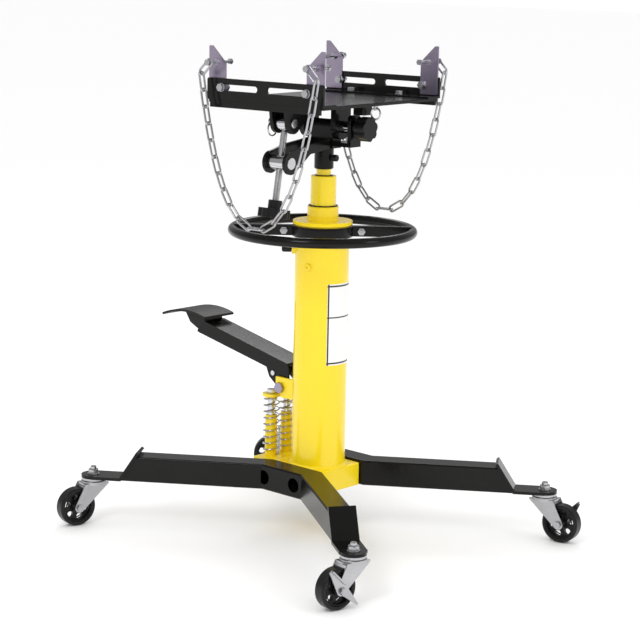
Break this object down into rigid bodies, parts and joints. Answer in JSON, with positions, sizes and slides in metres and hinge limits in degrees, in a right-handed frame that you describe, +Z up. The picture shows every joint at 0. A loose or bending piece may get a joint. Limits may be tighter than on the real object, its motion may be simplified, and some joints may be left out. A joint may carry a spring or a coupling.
{
  "type": "transmission jack",
  "caption": "Wheeled hydraulic transmission jack: telescopic ram column, foot pump, splayed legs on casters, tilting saddle with rails and chains.",
  "frame": {"origin": "floor level, under the middle of the whole object's footprint", "axes": "+Z up along the ram column; +X along the base housing, away from the foot pedal; +Y across it"},
  "size_m": [0.8296, 0.6746, 0.948],
  "materials": {
    "yellow_paint": "gloss enamel",
    "black_paint": "gloss enamel",
    "black_rubber": "matt moulded",
    "black_plastic": "moulded, slightly glossy",
    "zinc_plate": "zinc plated, faint purple cast",
    "zinc_steel": "bright zinc",
    "chrome": "polished",
    "cast_steel": "as machined",
    "label_film": "blank film",
    "fork_zinc": "pressed, zinc plated",
    "wheel_black": "moulded nylon"
  },
  "bodies": {
    "base": {"base_housing": "yellow_paint", "pump_manifold": "cast_steel", "leg_frame_left": "black_paint", "leg_frame_right": "black_paint", "leg_bolts": "zinc_steel", "caster_stems": "zinc_steel", "caster_nuts": "zinc_steel", "reservoir_tube": "yellow_paint", "pressure_tube": "cast_steel", "top_cap": "yellow_paint", "gland_collar": "yellow_paint", "handle_ring": "black_paint", "ring_clamp": "black_paint", "ring_clamp_bolts": "zinc_steel", "vent_plug": "yellow_paint", "blank_label": "label_film", "lever_ears": "yellow_paint", "lever_pivot_bolt": "zinc_plate", "pump_barrels": "yellow_paint"},
    "release_knob": {"release_knob": "black_plastic"},
    "foot_lever": {"foot_lever": "black_paint", "foot_pad": "black_rubber", "lever_roller": "chrome"},
    "pump_crosshead": {"pump_crosshead": "yellow_paint", "pump_plungers": "chrome", "pump_springs": "chrome"},
    "ram_one": {"stage_one_ram": "yellow_paint", "stage_one_piston": "cast_steel"},
    "ram_two": {"stage_two_ram": "yellow_paint", "stage_two_piston": "cast_steel"},
    "head": {"head_socket": "black_paint", "screw_arms": "black_paint", "lock_bracket": "black_paint"},
    "set_screw": {"set_screw": "black_plastic"},
    "screw_trunnion": {"screw_trunnion": "chrome"},
    "saddle": {"saddle_plate": "black_paint", "saddle_lugs": "black_paint", "clevis_pin": "chrome", "pull_rings": "chrome", "rail_left": "black_paint", "rail_right": "black_paint", "end_plates": "zinc_plate", "saddle_bolts": "zinc_steel"},
    "tilt_screw": {"tilt_screw": "chrome", "tilt_knob": "black_plastic"},
    "lock_knob": {"tilt_rod": "chrome", "lock_knob": "black_plastic"},
    "chain_left": {"chain_left": "zinc_steel"},
    "chain_right": {"chain_right": "zinc_steel"},
    "caster_left": {"caster_fork_left": "fork_zinc"},
    "wheel_left": {"caster_wheel_left": "wheel_black"},
    "caster_front": {"caster_fork_front": "fork_zinc"},
    "wheel_front": {"caster_wheel_front": "wheel_black"},
    "brake_front": {"caster_brake_front": "fork_zinc"},
    "caster_right": {"caster_fork_right": "fork_zinc"},
    "wheel_right": {"caster_wheel_right": "wheel_black"},
    "brake_right": {"caster_brake_right": "fork_zinc"},
    "caster_back": {"caster_fork_back": "fork_zinc"},
    "wheel_back": {"caster_wheel_back": "wheel_black"}
  },
  "joints": [
    {"name": "swivel_left", "type": "hinge", "parent": "base", "child": "caster_left", "pos_m": [-0.35209, -0.26036, 0.09], "axis": [0, 0, 1], "continuous": true},
    {"name": "roll_left", "type": "hinge", "parent": "caster_left", "child": "wheel_left", "pos_m": [-0.36086, -0.29835, 0.0375], "axis": [0.9744, -0.225, 0], "continuous": true},
    {"name": "swivel_front", "type": "hinge", "parent": "base", "child": "caster_front", "pos_m": [0.33791, -0.26036, 0.09], "axis": [0, 0, 1], "continuous": true},
    {"name": "roll_front", "type": "hinge", "parent": "caster_front", "child": "wheel_front", "pos_m": [0.33181, -0.29888, 0.0375], "axis": [0.9877, -0.1564, 0], "continuous": true},
    {"name": "brake_front", "type": "hinge", "parent": "caster_front", "child": "brake_front", "pos_m": [0.33181, -0.29888, 0.0375], "axis": [0.9877, -0.1564, 0], "range_deg": [0, 15]},
    {"name": "swivel_right", "type": "hinge", "parent": "base", "child": "caster_right", "pos_m": [0.33791, 0.30164, 0.09], "axis": [0, 0, 1], "continuous": true},
    {"name": "roll_right", "type": "hinge", "parent": "caster_right", "child": "wheel_right", "pos_m": [0.37632, 0.30842, 0.0375], "axis": [-0.1736, 0.9848, 0], "continuous": true},
    {"name": "brake_right", "type": "hinge", "parent": "caster_right", "child": "brake_right", "pos_m": [0.37632, 0.30842, 0.0375], "axis": [-0.1736, 0.9848, 0], "range_deg": [0, 15]},
    {"name": "swivel_back", "type": "hinge", "parent": "base", "child": "caster_back", "pos_m": [-0.35209, 0.30164, 0.09], "axis": [0, 0, 1], "continuous": true},
    {"name": "roll_back", "type": "hinge", "parent": "caster_back", "child": "wheel_back", "pos_m": [-0.38061, 0.27505, 0.0375], "axis": [0.682, -0.7314, 0], "continuous": true},
    {"name": "release_turn", "type": "hinge", "parent": "base", "child": "release_knob", "pos_m": [-0.05133, -0.01989, 0.56], "axis": [-0.7373, -0.6756, 0], "range_deg": [0, 180]},
    {"name": "foot_pump", "type": "hinge", "parent": "base", "child": "foot_lever", "pos_m": [-0.07909, 0.02065, 0.281], "axis": [0, -1, 0], "range_deg": [0, 25], "stiffness_Nm_per_rad": 20, "springref_deg": -25.78},
    {"name": "pump_stroke", "type": "slide", "parent": "base", "child": "pump_crosshead", "axis": [0, 0, -1], "range_m": [0, 0.0136], "deforming": ["pump_springs"]},
    {"name": "lift_one", "type": "slide", "parent": "base", "child": "ram_one", "axis": [0, 0, 1], "range_m": [0, 0.4]},
    {"name": "lift_two", "type": "slide", "parent": "ram_one", "child": "ram_two", "axis": [0, 0, 1], "range_m": [0, 0.42]},
    {"name": "head_swivel", "type": "hinge", "parent": "ram_two", "child": "head", "pos_m": [-0.00709, 0.02065, 0.73], "axis": [0, 0, 1], "continuous": true},
    {"name": "set_screw_turn", "type": "hinge", "parent": "head", "child": "set_screw", "pos_m": [0.01781, 0.02284, 0.738], "axis": [0.9961, 0.0879, 0], "range_deg": [0, 180]},
    {"name": "tilt", "type": "hinge", "parent": "head", "child": "saddle", "pos_m": [-0.00709, 0.02065, 0.798], "axis": [0.9961, 0.0879, 0], "range_deg": [-7, 7]},
    {"name": "screw_swing", "type": "hinge", "parent": "saddle", "child": "tilt_screw", "pos_m": [0.00343, -0.09869, 0.81], "axis": [0.9961, 0.0879, 0], "range_deg": [-9, 9]},
    {"name": "trunnion_turn", "type": "hinge", "parent": "head", "child": "screw_trunnion", "pos_m": [0.00458, -0.11174, 0.737], "axis": [0.9961, 0.0879, 0], "range_deg": [-3, 3]},
    {"name": "lock_turn", "type": "hinge", "parent": "head", "child": "lock_knob", "pos_m": [0.0726, 0.02767, 0.798], "axis": [0.9961, 0.0879, 0], "range_deg": [0, 180]},
    {"name": "chain_hang_left", "type": "hinge", "parent": "saddle", "child": "chain_left", "pos_m": [0.01065, -0.18057, 0.92343], "axis": [0.9961, 0.0879, 0], "range_deg": [-8, 8], "deforming": ["chain_left"]},
    {"name": "chain_hang_right", "type": "hinge", "parent": "saddle", "child": "chain_right", "pos_m": [-0.02484, 0.22186, 0.92343], "axis": [0.9961, 0.0879, 0], "range_deg": [-8, 8], "deforming": ["chain_right"]}
  ],
  "couplings": [
    {"joint": "pump_stroke", "follows": "foot_pump", "m_per_rad": 0.0305},
    {"joint": "screw_swing", "follows": "tilt", "ratio": -1.1429},
    {"joint": "trunnion_turn", "follows": "tilt", "ratio": -0.1429},
    {"joint": "chain_hang_left", "follows": "tilt", "ratio": -1},
    {"joint": "chain_hang_right", "follows": "tilt", "ratio": -1}
  ]
}
